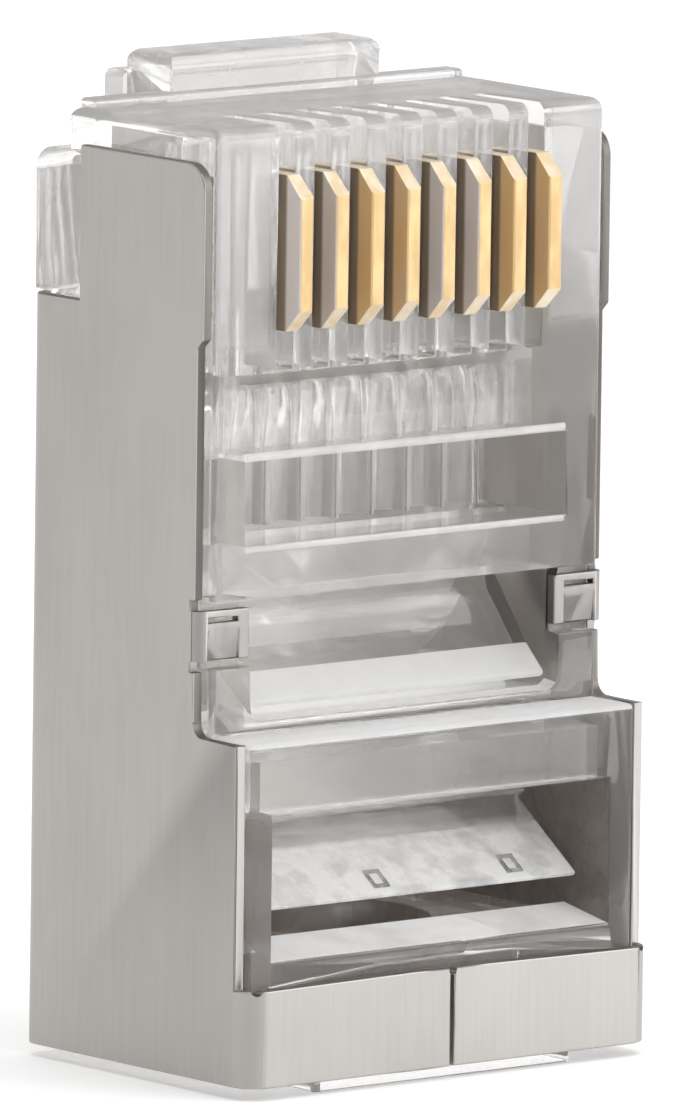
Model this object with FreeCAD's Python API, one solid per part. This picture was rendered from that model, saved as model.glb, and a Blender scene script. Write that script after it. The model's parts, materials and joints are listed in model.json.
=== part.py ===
import FreeCAD, Part
import math
import os
from FreeCAD import Vector

# Shielded eight-way modular plug, not yet crimped onto a cable.
# Frame: origin at the centre of the cable entry on the rear end face, +Z towards the nose,
# X across the plug, -Y the contact side, +Y the latch side.  Millimetres.

# ---- driving sizes ---------------------------------------------------------------------
plug_width = 11.68          # over the shield's side walls
rear_length = 7.92          # deep rear part, from the rear end face to the shelf
nose_length = 13.54         # slim nose part, from the shelf to the nose face
ways = 8                    # contacts, and the channels behind them
entry_r = 2.60              # round cable entry

# ---- sheet and fits --------------------------------------------------------------------
sheet = 0.25                # thickness of the shield's sheet
shell_gap = 0.03            # between the moulding and the sheet
slot_gap = 0.04             # between a blade and each side of its slot
hinge_gap = 0.10            # left open at each flexing web
bar_side_gap = 0.12         # between a strain relief bar and the side of its window
seam_half = 0.05            # half the seam between the closing flaps
overrun = 1.00              # how far a cutting tool passes a face
far = 40.0                  # larger than the plug, for cutting tools

# ---- lengths down from the nose face ---------------------------------------------------
channel_drop = 0.61         # ends of the wire channels
shield_drop = 0.76          # top of the shield's side walls
shoulder_drop = 0.96        # top of the full-depth part of the moulding
blade_drop = 1.08           # tops of the blades
back_wall_drop = 4.24       # top of the shield's latch-side wall
lobe_drop = 4.66            # foot of the side walls' forward lobes
slot_length = 5.46
comb_drop = 5.71            # foot of the comb
latch_bend_drop = 0.56      # where the lever leaves the root
latch_shoulder_drop = 8.01  # locking shoulders
latch_length = 14.06        # nose face to the lever's tip

# ---- lengths up from the shelf ---------------------------------------------------------
cross_rail_rise = 0.26      # cross rail's top at the contact face
cross_rail_slope = 0.05     # how much it climbs to the back
ear_rise = 1.69
ear_height = 1.12
bar_window_rise = 3.00      # top of the window over the conductor bar
pin_window_rise = 4.18      # foot of the window that shows the wires
pin_window_height = 1.90

# ---- lengths down from the shelf -------------------------------------------------------
hollow_drop = 0.52          # top of the hollow behind the rear wall
chamber_drop = 0.72         # top of the jacket chamber
rear_window_drop = 1.62     # top of the opening over the jacket bar
web_drop = 2.12             # foot of the web that carries the jacket bar

# ---- lengths at the rear end -----------------------------------------------------------
collar_rise = 0.28          # rear collar standing out past the shield's rear edge
flap_height = 2.18          # closing flaps, at their outer ends
flap_crown = 0.05           # how much higher the flaps are at the seam
pad_crown = 0.26            # pad behind the flaps standing above them at the seam
pad_crown_half = 1.90       # half width of the crown's flat top
relief_r = 0.11             # round relief at the top of the seam and of each flap's bend
entry_chamfer = 0.25
rail_top_front = 3.00       # rear rail's sloping top, contact side
rail_slope = 0.33           # how much it climbs to the chamber
rail_bevel = 0.28           # eases the jacket over the rail's inner edge

# ---- depths along Y --------------------------------------------------------------------
latch_face_y = 3.20         # outer face of the shield's latch-side wall
proud_face_y = 3.35         # moulding's latch side above that wall
nose_back_y = 2.15          # nose face ends here towards the latch
contact_face_y = -3.065     # moulding's contact face
nose_sheet_lag = 0.28       # contact face standing proud of the sheet's cut edge
lobe_lead = 0.20            # side walls' forward lobes, beside the contacts
rear_face_y = -4.45         # moulding's contact side in the deep rear part
rear_sheet_lag = 0.09       # rear face standing proud of the sheet's cut edge
flap_face_y = -4.89         # outer face of the closing flaps
notch_depth = 1.78          # side wall cut back at the latch corner above the back wall
rear_wall = 0.85            # moulding's wall over the rear opening
chamber_front_y = -2.62
chamber_back_y = 2.62
web_front_y = -1.78         # inner web that carries the jacket bar
web_back_y = -1.05
cross_rail_back_y = -2.65
wire_front_y = -1.15        # front of the flat way in front of the channels' ribs
channel_y = -0.61
slot_floor_y = -0.93
root_front_y = 1.77         # latch root

# ---- walls beside the openings, along X ------------------------------------------------
row_margin = 1.76           # side face to the row of ways
channel_wall = 0.08         # between two wire channels
chamber_wall = 0.71
pin_window_wall = 0.94
bar_window_wall = 1.14
collar_inset = 1.86         # collar's ends, in from the moulding's sides
ridge_inset = 0.30          # nose ridge's ends, in from the moulding's sides

# ---- radii -----------------------------------------------------------------------------
back_bend = 0.45            # shield's outer bend radius, latch side
flap_bend = 0.60            # shield's outer bend radius at the flaps
wall_corner = 0.60          # shield's rounded upper front corners
shelf_corner = 0.34         # inner corner of the side walls at the shelf
nose_round = 0.28           # edges round the nose face
edge_round = 0.16           # the moulding's other outer edges
shoulder_round = 0.60       # latch-side edge of the shoulder

# ---- nose ridge ------------------------------------------------------------------------
ridge_rise = 0.19           # low ridge along the nose face's latch-side edge
ridge_depth = 0.55

# ---- contact blades --------------------------------------------------------------------
blade = 0.38                # blade thickness
blade_length = 3.51
blade_chamfer = 0.50
blade_proud = 0.73          # outer edge above the contact face before crimping
blade_body = 1.75           # outer edge to the roots of the tines
tine_length = 0.65
tine_count = 3
tine_root = 0.62
blade_round = 0.05

# ---- strain relief bars ----------------------------------------------------------------
bar_thick = 0.85
bar_lip = 0.10              # blunt face along the jacket bar's free edge, and the round of both bars'
jacket_hinge_y = -1.42
jacket_hinge_drop = 0.32    # below the web's foot
jacket_edge_y = -3.44
jacket_edge_rise = 0.73     # above the rear rail
conductor_hinge_y = -0.95
conductor_hinge_drop = 0.30  # below the window's top
conductor_knee_y = -2.12
conductor_knee_rise = 0.95  # above the cross rail
conductor_edge_y = -2.88
conductor_edge_rise = 0.24  # above the cross rail

# ---- shield's ears ---------------------------------------------------------------------
ear_reach = 1.45            # how far an ear folds in over the contact face
ear_face_y = -2.95          # outer face of the folded ear
ear_bend = 0.26
ear_room = 0.18             # free height above and below an ear in its recess
ear_relief = 0.24           # length of the relief cut beside an ear
ear_relief_depth = 0.14
ear_slot_length = 0.85      # slot along the ear's upper edge
ear_slot_height = 0.12
ear_slot_drop = 0.16        # down from the ear's top
ear_slot_inset = 0.30       # in from the side wall
ear_tongue_drop = 0.40      # top of the tongue under the slot, down from the ear's top
ear_tongue_depth = 0.09     # how far its lower end is pressed in

# ---- latch -----------------------------------------------------------------------------
root_rise = 1.02            # latch root standing above the nose face
lever_step = 0.49           # lever's top, down from the root's top
root_half = 3.00            # half width of the latch root
latch_half = 3.05           # half width of the wide part
latch_tail_half = 1.62
latch_thick = 0.86          # at the bend
latch_tip_thick = 0.72
latch_lean = 11.5           # degrees between the lever and the body at rest
latch_bend_r = 0.90
latch_back_depth = 0.63     # root part of the lever, front to back
latch_ramp_length = 3.20    # wedges that push the latch down in a jack
latch_ramp_rise = 0.42
latch_ramp_land = 0.50      # flat top of a wedge beside the shoulder
latch_waist_r = 0.25
latch_ridges = 3
latch_ridge_r = 0.16
latch_ridge_pitch = 0.75

# ---- worked out from the above ---------------------------------------------------------
half_width = plug_width / 2
body_half = half_width - sheet - shell_gap
chamber_half = body_half - chamber_wall
pin_window_half = body_half - pin_window_wall
bar_window_half = body_half - bar_window_wall
collar_half = body_half - collar_inset
row_half = half_width - row_margin
pitch = 2 * row_half / ways
channel_r = (pitch - channel_wall) / 2

back_y = latch_face_y - sheet - shell_gap
nose_sheet_y = contact_face_y + nose_sheet_lag
rear_sheet_y = rear_face_y + rear_sheet_lag
flap_seat_y = flap_face_y + sheet + shell_gap
blade_edge_y = contact_face_y - blade_proud
latch_inner_y = proud_face_y + hinge_gap

step_z = rear_length
nose_z = rear_length + nose_length
flap_top_z = collar_rise + flap_height
flap_peak_z = flap_top_z + flap_crown
rail_back_z = rail_top_front + rail_slope
chamber_floor_z = rail_back_z - rail_bevel
web_bottom_z = step_z - web_drop
bar_window_low = step_z + cross_rail_rise
bar_window_top = step_z + bar_window_rise
pin_window_low = step_z + pin_window_rise
pin_window_top = pin_window_low + pin_window_height
wire_way_top = nose_z - comb_drop
slot_low_z = nose_z - slot_length
blade_top_z = nose_z - blade_drop
blade_low_z = blade_top_z - blade_length
shoulder_z = nose_z - shoulder_drop
shield_top_z = nose_z - shield_drop
back_wall_top_z = nose_z - back_wall_drop
lobe_z = nose_z - lobe_drop
ear_low_z = step_z + ear_rise
ear_high_z = ear_low_z + ear_height
root_top_z = nose_z + root_rise
lever_top_z = root_top_z - lever_step
latch_bend_z = nose_z - latch_bend_drop
latch_shoulder_z = nose_z - latch_shoulder_drop
latch_tip_z = nose_z - latch_length
lean = math.radians(latch_lean)
lever_run = (latch_bend_z - latch_tip_z) / math.cos(lean)


def node_file(name):
    return os.path.join("parts", name + ".step")


def prism_x(points, half, centre=0.0):
    """Closed (y, z) outline pulled along X to both sides of a centre."""
    corners = [Vector(centre - half, y, z) for y, z in points]
    face = Part.Face(Part.makePolygon(corners + corners[:1]))
    return face.extrude(Vector(2 * half, 0, 0))


def block(x0, x1, y0, y1, z0, z1):
    return Part.makeBox(x1 - x0, y1 - y0, z1 - z0, Vector(x0, y0, z0))


def round_edges(shape, radius, wanted):
    """Fillet each edge whose end points and middle all pass the test."""
    chosen = []
    for edge in shape.Edges:
        ends = [v.Point for v in edge.Vertexes]
        if all(wanted(p) for p in ends + [edge.CenterOfMass]):
            chosen.append(edge)
    return shape.makeFillet(radius, chosen)


def near(value, target):
    return abs(value - target) < 1e-4


def rounded_rectangle(half, y_low, y_high, r_low, r_high, z):
    """Wire in a horizontal plane with one radius at each end."""
    d_low = r_low * (1 - math.sqrt(0.5))
    d_high = r_high * (1 - math.sqrt(0.5))
    a = Vector(half, y_low + r_low, z)
    b = Vector(half, y_high - r_high, z)
    c = Vector(half - r_high, y_high, z)
    d = Vector(-half + r_high, y_high, z)
    e = Vector(-half, y_high - r_high, z)
    f = Vector(-half, y_low + r_low, z)
    g = Vector(-half + r_low, y_low, z)
    h = Vector(half - r_low, y_low, z)
    edges = [
        Part.LineSegment(a, b).toShape(),
        Part.Arc(b, Vector(half - d_high, y_high - d_high, z), c).toShape(),
        Part.LineSegment(c, d).toShape(),
        Part.Arc(d, Vector(-half + d_high, y_high - d_high, z), e).toShape(),
        Part.LineSegment(e, f).toShape(),
        Part.Arc(f, Vector(-half + d_low, y_low + d_low, z), g).toShape(),
        Part.LineSegment(g, h).toShape(),
        Part.Arc(h, Vector(half - d_low, y_low + d_low, z), a).toShape(),
    ]
    return Part.Wire(edges)


def way_centres():
    first = -pitch * (ways - 1) / 2
    return [first + pitch * i for i in range(ways)]


# ---- housing ---------------------------------------------------------------------------
def housing_blank():
    """Outer form of the moulding: deep rear part, shelf, slim nose, shoulder."""
    outline = [
        (rear_face_y, collar_rise),
        (rear_face_y, step_z),
        (contact_face_y, step_z),
        (contact_face_y, nose_z),
        (nose_back_y, nose_z),
        (nose_back_y, shoulder_z),
        (proud_face_y, shoulder_z),
        (proud_face_y, back_wall_top_z + shell_gap),
        (back_y, back_wall_top_z + shell_gap),
        (back_y, collar_rise),
    ]
    body = prism_x(outline, body_half)
    body = round_edges(body, nose_round, lambda p: near(p.z, nose_z))
    body = round_edges(body, shoulder_round,
                       lambda p: near(p.z, shoulder_z) and near(p.y, proud_face_y))
    body = round_edges(body, edge_round,
                       lambda p: near(abs(p.x), body_half) and near(p.y, contact_face_y))
    body = round_edges(body, edge_round,
                       lambda p: near(p.z, step_z) and near(p.y, rear_face_y))
    body = round_edges(body, edge_round,
                       lambda p: near(abs(p.x), body_half) and near(p.y, rear_face_y))
    return round_edges(body, edge_round,
                       lambda p: near(abs(p.x), body_half) and near(p.y, back_y))


def rear_collar():
    """Collar round the cable entry, and the pad that the flaps close on."""
    collar = Part.Face(rounded_rectangle(collar_half, flap_seat_y, back_y,
                                         edge_round, entry_chamfer, 0.0))
    collar = collar.extrude(Vector(0, 0, collar_rise + sheet))
    return collar.fuse(flap_pad())


def flap_pad():
    """Pad behind the closing flaps, standing up above them beside the seam."""
    half = body_half - flap_bend
    outline = [(-half, collar_rise), (half, collar_rise), (half, flap_top_z),
               (pad_crown_half, flap_top_z + pad_crown),
               (-pad_crown_half, flap_top_z + pad_crown), (-half, flap_top_z)]
    corners = [Vector(x, flap_seat_y, z) for x, z in outline]
    face = Part.Face(Part.makePolygon(corners + corners[:1]))
    return face.extrude(Vector(0, rear_face_y + sheet - flap_seat_y, 0))


def latch_root():
    """Raised bridge on the nose, in front of the place where the lever flexes."""
    low = shoulder_z - shoulder_round
    bridge = prism_x([(root_front_y, low), (root_front_y, root_top_z),
                      (proud_face_y, root_top_z), (proud_face_y, low)], root_half)
    return round_edges(bridge, nose_round, lambda p: near(p.z, root_top_z))


def nose_ridge():
    """Low ridge each side of the latch root, along the nose face's latch-side edge."""
    half = body_half - ridge_inset
    front = nose_back_y - ridge_depth
    ridge = prism_x([(front, nose_z - ridge_rise), (front, nose_z + ridge_rise),
                     (nose_back_y, nose_z + ridge_rise), (nose_back_y, nose_z - ridge_rise)],
                    half)
    return round_edges(ridge, ridge_rise / 2, lambda p: near(p.z, nose_z + ridge_rise))


def cable_entry():
    bore = Part.makeCylinder(entry_r, chamber_floor_z + 2 * overrun, Vector(0, 0, -overrun))
    mouth = Part.makeCone(entry_r + entry_chamfer, entry_r, entry_chamfer, Vector(0, 0, 0))
    return bore.fuse(mouth)


def jacket_chamber():
    """Space for the jacket, the hollow behind the rear wall, and the window into both."""
    top_z = step_z - chamber_drop
    main = prism_x([(chamber_front_y - rail_bevel, rail_back_z),
                    (chamber_front_y, chamber_floor_z), (chamber_back_y, chamber_floor_z),
                    (chamber_back_y, top_z), (web_back_y, top_z),
                    (web_back_y, web_bottom_z),
                    (chamber_front_y - rail_bevel, web_bottom_z)], chamber_half)
    hollow_z = step_z - hollow_drop
    hollow = prism_x([(rear_face_y + rear_wall, rail_back_z), (web_front_y, rail_back_z),
                      (web_front_y, hollow_z), (rear_face_y + rear_wall, hollow_z)],
                     chamber_half)
    window_z = step_z - rear_window_drop
    fall = rail_slope * overrun / (chamber_front_y - rear_face_y)
    out_y = rear_face_y - overrun
    window = prism_x([(out_y, rail_top_front - fall), (chamber_front_y, rail_back_z),
                      (chamber_front_y, window_z), (out_y, window_z)], chamber_half)
    return main.fuse([hollow, window])


def throat():
    """Way for the sorted wires, narrowing from the chamber to the channels."""
    low_z = step_z - chamber_drop - hinge_gap
    return prism_x([(web_back_y, low_z), (chamber_back_y, low_z),
                    (channel_y + channel_r, pin_window_low), (channel_y, pin_window_low),
                    (channel_y, wire_way_top), (wire_front_y, wire_way_top),
                    (wire_front_y, bar_window_top), (web_back_y, bar_window_top)],
                   bar_window_half)


def bar_window():
    """Window over the conductor bar, with a ramp on the cross rail below it."""
    out_y = contact_face_y - overrun
    fall = cross_rail_slope * overrun / (cross_rail_back_y - contact_face_y)
    rail_z = bar_window_low + cross_rail_slope
    back = web_back_y + hinge_gap
    opening = prism_x([(out_y, bar_window_low - fall), (cross_rail_back_y, rail_z),
                       (cross_rail_back_y, step_z), (back, step_z),
                       (back, bar_window_top), (out_y, bar_window_top)], bar_window_half)
    return round_edges(opening, edge_round * 2,
                       lambda p: near(abs(p.x), bar_window_half)
                       and not near(p.z, step_z)
                       and p.z < rail_z + edge_round
                       and p.y < cross_rail_back_y + edge_round)


def pin_window():
    """Window that shows the wires on their ribs, deeper at both ends of the row of ribs."""
    opening = block(-pin_window_half, pin_window_half, contact_face_y - overrun, channel_y,
                    pin_window_low, pin_window_top)
    ends = [block(low, high, wire_front_y, channel_y + channel_r,
                  pin_window_low, pin_window_top)
            for low, high in ((-pin_window_half, -row_half), (row_half, pin_window_half))]
    return opening.fuse(ends)


def wire_channels():
    low = bar_window_top + slot_gap
    length = nose_z - channel_drop - low
    return [Part.makeCylinder(channel_r, length, Vector(x, channel_y, low))
            for x in way_centres()]


def comb_slots():
    """One slot for each blade, open on the contact face and through the nose."""
    half = blade / 2 + slot_gap
    return [block(x - half, x + half, contact_face_y - overrun, slot_floor_y,
                  slot_low_z, nose_z + overrun) for x in way_centres()]


def ear_recesses():
    inner = half_width - ear_reach - ear_room
    depth = ear_face_y + sheet + shell_gap
    low = ear_low_z - ear_room
    high = ear_high_z + ear_room
    front = contact_face_y - overrun
    return [block(inner, half_width, front, depth, low, high),
            block(-half_width, -inner, front, depth, low, high)]


def housing():
    body = housing_blank().fuse([rear_collar(), latch_root(), nose_ridge()])
    tools = [cable_entry(), jacket_chamber(), throat(), bar_window(), pin_window()]
    tools += wire_channels() + comb_slots() + ear_recesses()
    return body.cut(tools).removeSplitter()


# ---- shield ----------------------------------------------------------------------------
def shield_tube(z_low, z_high):
    """Closed tube of sheet, from which the open side and the steps are then cut."""
    outer = Part.Face(rounded_rectangle(half_width, flap_face_y, latch_face_y,
                                        flap_bend, back_bend, z_low))
    inner = Part.Face(rounded_rectangle(half_width - sheet, flap_face_y + sheet,
                                        latch_face_y - sheet, flap_bend - sheet,
                                        back_bend - sheet, z_low))
    return outer.cut(inner).extrude(Vector(0, 0, z_high - z_low))


def flap_cuts():
    """Seam between the flaps, and the slanting tops that rise to it."""
    front = flap_face_y - overrun
    slit = block(-seam_half, seam_half, front, flap_face_y + overrun, -overrun, far)
    tops = []
    for side in (-1, 1):
        outline = [(side * far, flap_top_z), (side * (half_width - flap_bend), flap_top_z),
                   (side * pitch, flap_peak_z), (0.0, flap_peak_z),
                   (0.0, far), (side * far, far)]
        corners = [Vector(x, front, z) for x, z in outline]
        face = Part.Face(Part.makePolygon(corners + corners[:1]))
        tops.append(face.extrude(Vector(0, rear_sheet_y - front, 0)))
    return [slit] + tops


def flap_reliefs():
    """Round holes at the top of the seam and of the bends, against tearing."""
    front = flap_face_y - overrun
    length = rear_sheet_y - front
    bend_x = half_width - flap_bend / 2
    places = [(0.0, flap_peak_z - relief_r / 2), (bend_x, flap_top_z), (-bend_x, flap_top_z)]
    return [Part.makeCylinder(relief_r, length, Vector(x, front, z), Vector(0, 1, 0))
            for x, z in places]


def shield_wall_cuts():
    """Steps down from the rear depth to the nose depth, and the open latch corner."""
    out_y = flap_face_y - overrun
    lobe_y = nose_sheet_y - lobe_lead
    front = prism_x([(out_y, step_z), (nose_sheet_y, step_z),
                     (nose_sheet_y, lobe_z - lobe_lead), (lobe_y, lobe_z),
                     (lobe_y, far), (out_y, far)], far)
    front = round_edges(front, shelf_corner,
                        lambda p: near(p.y, nose_sheet_y) and near(p.z, step_z))
    latch_corner = block(-far, far, latch_face_y - notch_depth, latch_face_y + overrun,
                         back_wall_top_z, far)
    open_side = block(-half_width + sheet, half_width - sheet, out_y,
                      rear_sheet_y, flap_peak_z, far)
    return [front, latch_corner, open_side]


def ears():
    """A tab each side, folded in over the contact face to hold the moulding."""
    tabs = []
    for side in (-1, 1):
        x_out = side * half_width
        x_in = side * (half_width - ear_reach)
        x_wall = side * (half_width - sheet)
        plate = block(min(x_out, x_in), max(x_out, x_in), ear_face_y, ear_face_y + sheet,
                      ear_low_z, ear_high_z)
        web = block(min(x_out, x_wall), max(x_out, x_wall), ear_face_y,
                    nose_sheet_y + ear_relief_depth, ear_low_z, ear_high_z)
        tab = plate.fuse(web).removeSplitter()
        tab = round_edges(tab, ear_bend, lambda p, x=x_out: near(p.x, x)
                          and near(p.y, ear_face_y))
        tabs.append(tab.cut([ear_slot(side), ear_tongue(side)]))
    return tabs


def ear_slot(side):
    """Narrow slot through an ear, just below its upper edge."""
    near_x = side * (half_width - ear_slot_inset)
    far_x = side * (half_width - ear_slot_inset - ear_slot_length)
    top = ear_high_z - ear_slot_drop
    return block(min(near_x, far_x), max(near_x, far_x), ear_face_y - overrun,
                 ear_face_y + sheet, top - ear_slot_height, top)


def ear_tongue(side):
    """Wedge that leaves a tongue below an ear's slot, pressed in towards its lower end."""
    high = ear_high_z - ear_tongue_drop
    front = ear_face_y - overrun
    pressed = ear_face_y + ear_tongue_depth
    outline = [(front, high), (ear_face_y, high), (pressed, ear_low_z),
               (pressed, ear_low_z - overrun), (front, ear_low_z - overrun)]
    centre = half_width - ear_slot_inset - ear_slot_length / 2
    return prism_x(outline, ear_slot_length / 2, side * centre)


def ear_reliefs():
    low = ear_low_z - ear_relief
    high = ear_high_z + ear_relief
    back = nose_sheet_y + ear_relief_depth
    return [block(-far, far, flap_face_y, back, low, high)]


def shield():
    tube = shield_tube(collar_rise, shield_top_z)
    body = tube.cut(flap_cuts() + flap_reliefs() + shield_wall_cuts())
    body = round_edges(body, wall_corner,
                       lambda p: near(p.z, shield_top_z)
                       and near(p.y, nose_sheet_y - lobe_lead))
    body = body.cut(ear_reliefs())
    return body.fuse(ears()).removeSplitter()


# ---- contacts --------------------------------------------------------------------------
def contact_blade(x):
    """Flat blade: chamfered outer edge, straight body, sharp tines at the inner end."""
    root_y = blade_edge_y + blade_body
    tip_y = root_y + tine_length
    flat_low = blade_low_z + blade_chamfer
    flat_high = blade_top_z - blade_chamfer
    outline = [
        (blade_edge_y, flat_low),
        (blade_edge_y, flat_high),
        (blade_edge_y + blade_chamfer, blade_top_z),
        (root_y, blade_top_z),
    ]
    spread = blade_top_z - blade_low_z - tine_root
    for i in range(tine_count):
        centre = blade_top_z - tine_root / 2 - spread * i / (tine_count - 1)
        outline += [(root_y, centre + tine_root / 2), (tip_y, centre),
                    (root_y, centre - tine_root / 2)]
    outline += [(root_y, blade_low_z), (blade_edge_y + blade_chamfer, blade_low_z)]
    cleaned = [p for i, p in enumerate(outline) if p != outline[i - 1]]
    plate = prism_x(cleaned, blade / 2, x)
    return round_edges(plate, blade_round,
                       lambda p: near(p.y, blade_edge_y) and near(abs(p.x - x), blade / 2))


# ---- strain relief bars ----------------------------------------------------------------
def offset_inward(p, q, depth):
    """Two points moved square to the line p-q by a depth, away from the contact side."""
    length = math.hypot(q[0] - p[0], q[1] - p[1])
    ny = -(q[1] - p[1]) / length
    nz = (q[0] - p[0]) / length
    if ny < 0:
        ny, nz = -ny, -nz
    return ((p[0] + ny * depth, p[1] + nz * depth), (q[0] + ny * depth, q[1] + nz * depth))


def jacket_bar():
    top = (jacket_hinge_y, web_bottom_z - jacket_hinge_drop)
    edge = (jacket_edge_y, rail_back_z + jacket_edge_rise)
    top_in, edge_in = offset_inward(top, edge, bar_thick)
    outline = [top, edge, (edge[0], edge[1] - bar_lip), (edge_in[0], edge[1] - bar_lip),
               top_in, (web_back_y - hinge_gap, web_bottom_z - hinge_gap),
               (web_front_y + hinge_gap, web_bottom_z - hinge_gap)]
    bar = prism_x(outline, chamber_half - bar_side_gap)
    return round_edges(bar, bar_lip,
                       lambda p: near(p.y, edge[0]) and near(p.z, edge[1]))


def conductor_bar():
    top = (conductor_hinge_y, bar_window_top - conductor_hinge_drop)
    knee = (conductor_knee_y, bar_window_low + conductor_knee_rise)
    edge = (conductor_edge_y, bar_window_low + conductor_edge_rise)
    top_in, knee_in = offset_inward(top, knee, bar_thick)
    foot = (edge[0] + bar_thick, edge[1])
    outline = [top, knee, edge, foot, knee_in, top_in,
               (wire_front_y + bar_thick, bar_window_top - hinge_gap),
               (wire_front_y, bar_window_top - hinge_gap)]
    bar = prism_x(outline, bar_window_half - bar_side_gap)
    return round_edges(bar, bar_lip,
                       lambda p: near(p.y, edge[0]) and near(p.z, edge[1]))


# ---- latch -----------------------------------------------------------------------------
def lever_point(run, height):
    """(y, z) at a distance down the lever's inner face and a height square to it."""
    y = latch_inner_y + run * math.sin(lean) + height * math.cos(lean)
    z = latch_bend_z - run * math.cos(lean) + height * math.sin(lean)
    return (y, z)


def latch_lever():
    """Upright root and leaning lever in one bent strip, thinner towards the tip."""
    outer_y = latch_inner_y + latch_back_depth
    bend_z = latch_bend_z + latch_thick / 2
    outline = [(latch_inner_y, lever_top_z), (latch_inner_y, latch_bend_z),
               lever_point(lever_run, 0.0), lever_point(lever_run, latch_tip_thick),
               (outer_y, bend_z), (outer_y, lever_top_z)]
    lever = prism_x(outline, latch_half)
    lever = round_edges(lever, nose_round,
                        lambda p: near(p.z, lever_top_z) and near(p.y, outer_y))
    return round_edges(lever, latch_bend_r,
                       lambda p: near(p.z, bend_z) and near(p.y, outer_y))


def latch_ramps():
    """Wedges at both sides of the wide part that end in the locking shoulders."""
    end = (latch_bend_z - latch_shoulder_z) / math.cos(lean)
    start = end - latch_ramp_length
    skin = latch_tip_thick / 2
    outline = [lever_point(start, skin), lever_point(end, skin),
               lever_point(end, latch_thick + latch_ramp_rise),
               lever_point(end - latch_ramp_land, latch_thick + latch_ramp_rise),
               lever_point(start, latch_tip_thick)]
    centre = (latch_half + latch_tail_half) / 2
    half = (latch_half - latch_tail_half) / 2
    return [prism_x(outline, half, side * centre) for side in (-1, 1)]


def latch_grip():
    """Low ridges across the tip, for a finger."""
    half = latch_tail_half - edge_round
    ridges = []
    for i in range(latch_ridges):
        run = lever_run - latch_ridge_r * 2 - latch_ridge_pitch * i
        y, z = lever_point(run, latch_tip_thick)
        ridges.append(Part.makeCylinder(latch_ridge_r, 2 * half, Vector(-half, y, z),
                                        Vector(1, 0, 0)))
    return ridges


def latch_waist(side):
    """Cuts one side of the tail away below the shoulder, with a round inner corner."""
    inner = side * latch_tail_half
    cut = block(min(inner, side * far), max(inner, side * far), -far, far,
                -far, latch_shoulder_z)
    return round_edges(cut, latch_waist_r,
                       lambda p: near(p.x, inner) and near(p.z, latch_shoulder_z))


def latch():
    lever = latch_lever().fuse(latch_ramps())
    lever = lever.cut([latch_waist(-1), latch_waist(1)])
    lever = lever.removeSplitter()
    lever = round_edges(lever, latch_waist_r,
                        lambda p: near(abs(p.x), latch_tail_half)
                        and abs(p.z - latch_tip_z) < latch_tip_thick)
    return lever.fuse(latch_grip()).removeSplitter()


def write(name, shape):
    if shape.ShapeType != "Solid":
        if len(shape.Solids) != 1:
            raise ValueError(name + " is not one solid: " + str(len(shape.Solids)))
        shape = shape.Solids[0]
    shape.exportStep(node_file(name))
    box = shape.BoundBox
    print(name, "faces", len(shape.Faces), "volume %.3f" % shape.Volume,
          "x %.2f %.2f y %.2f %.2f z %.2f %.2f" % (box.XMin, box.XMax, box.YMin,
                                                   box.YMax, box.ZMin, box.ZMax))


def main():
    os.makedirs("parts", exist_ok=True)
    write("housing", housing())
    write("shield", shield())
    write("latch", latch())
    write("jacket_bar", jacket_bar())
    write("conductor_bar", conductor_bar())
    for number, x in enumerate(way_centres(), start=1):
        write("contact_%d" % number, contact_blade(x))


main()
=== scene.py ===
import enum
import json
import logging
import math
from dataclasses import dataclass, field
from typing import Callable, Sequence

import bmesh
import bpy
from mathutils import Matrix, Vector

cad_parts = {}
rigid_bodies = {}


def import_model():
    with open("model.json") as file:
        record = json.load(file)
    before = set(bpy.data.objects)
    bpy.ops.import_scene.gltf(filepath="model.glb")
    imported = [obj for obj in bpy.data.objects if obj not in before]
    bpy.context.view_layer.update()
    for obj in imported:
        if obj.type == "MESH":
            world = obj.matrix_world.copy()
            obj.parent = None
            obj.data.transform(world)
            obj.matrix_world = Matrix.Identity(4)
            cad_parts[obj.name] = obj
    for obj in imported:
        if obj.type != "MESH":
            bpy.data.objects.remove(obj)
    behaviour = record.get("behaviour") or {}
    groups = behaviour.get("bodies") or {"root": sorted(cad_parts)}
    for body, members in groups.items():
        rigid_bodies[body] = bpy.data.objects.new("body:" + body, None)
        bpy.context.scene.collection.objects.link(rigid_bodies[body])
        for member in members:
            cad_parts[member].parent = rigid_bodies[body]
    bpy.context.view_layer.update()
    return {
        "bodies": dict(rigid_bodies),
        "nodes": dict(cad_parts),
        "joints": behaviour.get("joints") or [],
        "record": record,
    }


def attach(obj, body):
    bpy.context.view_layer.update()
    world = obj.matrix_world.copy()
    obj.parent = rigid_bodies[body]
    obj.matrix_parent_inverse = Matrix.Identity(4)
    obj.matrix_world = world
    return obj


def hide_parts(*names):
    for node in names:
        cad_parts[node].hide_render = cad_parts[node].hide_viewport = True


# The plug stands on its cable entry: +Z runs to the nose, X across, and -Y is the contact
# side. Sizes are in metres, unless a docstring says that they are in mm.
MM = 0.001
LOG = logging.getLogger("modular_plug")

Colour = tuple[float, float, float, float]
Triple = tuple[float, float, float]
Span = tuple[float, float]

FINE_SHARE = 0.55           # weight of a noise's finer octaves
SHARP_TURN = 35.0           # degrees across an edge that gets rounded
SMOOTH_TURN = 28.0          # degrees across an edge that still shades as one surface
FLAT_TURN = 0.3             # degrees between triangles of one flat face
JOIN_DISTANCE = 2e-7        # metres between points that are one

# Sockets that share their names with others on the same node, by number.
MIX_SHARE, MIX_FIRST, MIX_SECOND, MIX_RESULT = 0, 6, 7, 2
FLOAT_FIRST, FLOAT_SECOND = 0, 1
WHOLE_FIRST, WHOLE_SECOND = 2, 3


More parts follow.
